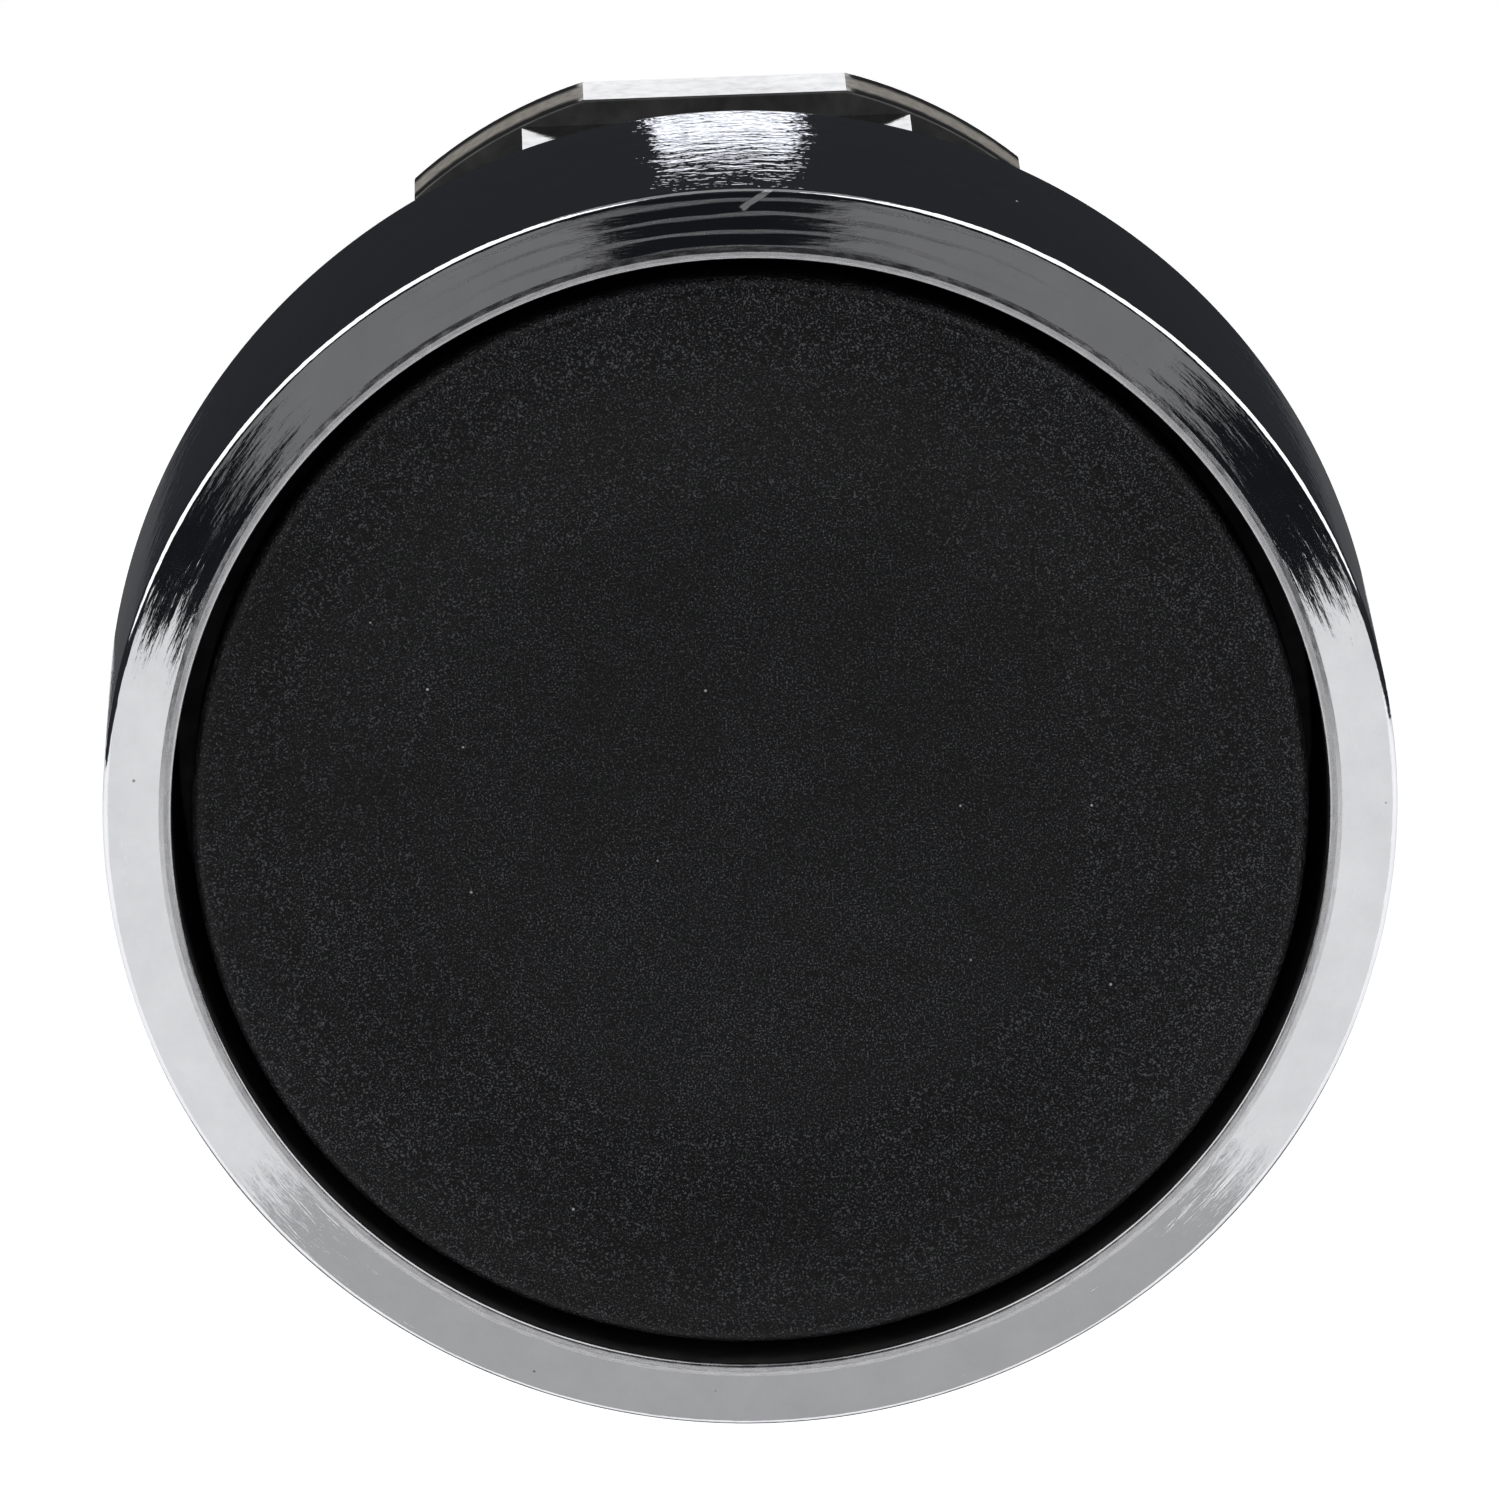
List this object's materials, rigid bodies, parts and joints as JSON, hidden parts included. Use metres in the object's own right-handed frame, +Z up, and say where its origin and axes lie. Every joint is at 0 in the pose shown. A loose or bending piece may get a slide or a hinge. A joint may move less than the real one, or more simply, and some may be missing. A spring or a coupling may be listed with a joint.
{
  "type": "flush push button head",
  "caption": "Round flush push button head with a chrome bezel, a black dished cap, spring return and a rear barrel with bayonet lugs.",
  "frame": {"origin": "on the button's axis, in the plane of the panel's front face, where the gasket seats", "axes": "+Y along the axis towards the inside of the panel, so the cap faces -Y; +Z up; +X to the operator's right"},
  "size_m": [0.029, 0.0263, 0.029],
  "materials": {
    "chrome_plated_zinc": "bright chrome plate on die-cast zinc, fine turned lines on the front land",
    "black_cap_plastic": "fine spark-eroded grain, semi-matt",
    "nitrile_rubber": "matt black moulded rubber",
    "natural_nylon": "moulded, slightly waxy",
    "white_acetal": "smooth, low friction",
    "black_acetal": "smooth moulded",
    "grey_nylon": "moulded",
    "zinc_plated_steel": "bright zinc plate",
    "spring_steel": "drawn wire and stamped strip, oiled",
    "brass": "turned"
  },
  "bodies": {
    "housing": {"bezel_housing": "chrome_plated_zinc", "panel_gasket": "nitrile_rubber", "diaphragm_clamp_ring": "brass", "guide_sleeve": "natural_nylon", "spring_seat_washer": "zinc_plated_steel", "rear_retainer": "zinc_plated_steel", "tail_bush": "black_acetal", "retaining_ring": "spring_steel", "diaphragm": "nitrile_rubber", "return_spring": "spring_steel"},
    "button": {"button_cap": "black_cap_plastic", "cap_carrier": "black_acetal", "carrier_screw": "zinc_plated_steel", "carrier_screw_washer": "zinc_plated_steel", "diaphragm_press_ring": "brass", "plunger_stem": "white_acetal", "stop_bumper": "nitrile_rubber", "drive_plate": "grey_nylon", "drive_plate_lock_washer": "spring_steel", "drive_plate_screw": "zinc_plated_steel"}
  },
  "joints": [
    {"name": "button_push", "type": "slide", "parent": "housing", "child": "button", "axis": [0, 1, 0], "range_m": [0, 0.0043], "stiffness_N_per_m": 350, "springref_m": -0.0057, "deforming": ["return_spring", "diaphragm"]}
  ]
}
